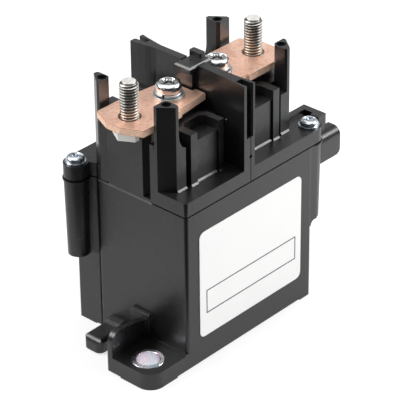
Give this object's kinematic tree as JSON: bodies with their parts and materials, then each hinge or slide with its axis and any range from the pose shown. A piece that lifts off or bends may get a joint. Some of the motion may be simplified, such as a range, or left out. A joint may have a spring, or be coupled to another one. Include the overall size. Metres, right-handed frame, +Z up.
{
  "type": "dc contactor",
  "caption": "Sealed high-voltage DC contactor: black moulded case with diagonal feet, barrier between two copper terminal bars with threaded studs, and a plunger contact mechanism inside.",
  "frame": {"origin": "centre of the case on the mounting plane", "axes": "+X along the terminal row towards the coil connector, -Y out of the label face, +Z up towards the terminal studs"},
  "size_m": [0.078, 0.0404, 0.0789],
  "materials": {
    "case_plastic": "satin moulded",
    "cover_plastic": "satin moulded",
    "label_white": "matte printed film",
    "plated_steel": "bright nickel",
    "zinc_steel": "bluish zinc",
    "bush_steel": "passivated zinc",
    "bar_copper": "bare rolled copper",
    "contact_copper": "turned copper",
    "tip_silver": "matte silver alloy",
    "pin_tin": "tinned",
    "chamber_ceramic": "fired alumina",
    "flange_metal": "brazed nickel alloy",
    "magnet_ferrite": "ground ferrite",
    "soft_iron": "plated soft iron",
    "spring_steel": "spring wire",
    "cap_steel": "drawn stainless",
    "bumper_rubber": "moulded rubber",
    "bobbin_plastic": "glass-filled natural",
    "winding_copper": "enamelled wire",
    "lead_red": "insulated wire"
  },
  "bodies": {
    "housing": {"base_case": "case_plastic", "cover_left": "cover_plastic", "cover_right": "cover_plastic", "cover_screws": "zinc_steel", "label": "label_white", "foot_bushes": "bush_steel", "busbar_left": "bar_copper", "busbar_right": "bar_copper", "stud_bolts": "plated_steel", "terminal_screws": "plated_steel", "spring_washers": "plated_steel", "flat_washers": "plated_steel", "connector_pins": "pin_tin", "fixed_contacts": "contact_copper", "fixed_tips": "tip_silver", "arc_chamber": "chamber_ceramic", "joint_flange": "flange_metal", "arc_magnets": "magnet_ferrite", "fixed_core": "soft_iron", "return_spring": "spring_steel", "core_bumper": "bumper_rubber", "plunger_cap": "cap_steel", "yoke_plate": "soft_iron", "yoke": "soft_iron", "coil_bobbin": "bobbin_plastic", "coil_winding": "winding_copper", "coil_leads": "lead_red", "damper_pad": "bumper_rubber"},
    "armature": {"moving_core": "soft_iron", "shaft": "cap_steel", "shaft_clip": "spring_steel", "contact_spring": "spring_steel"},
    "bridge": {"contact_bridge": "contact_copper", "bridge_tips": "tip_silver"}
  },
  "joints": [
    {"name": "armature_slide", "type": "slide", "parent": "housing", "child": "armature", "axis": [0, 0, 1], "range_m": [0, 0.002], "stiffness_N_per_m": 1500, "springref_m": -0.004, "deforming": ["return_spring"]},
    {"name": "contact_slide", "type": "slide", "parent": "armature", "child": "bridge", "axis": [0, 0, 1], "range_m": [-0.0005, 0], "deforming": ["contact_spring"]}
  ],
  "couplings": [
    {"joint": "contact_slide", "follows": "armature_slide", "ratio": -0.25}
  ]
}
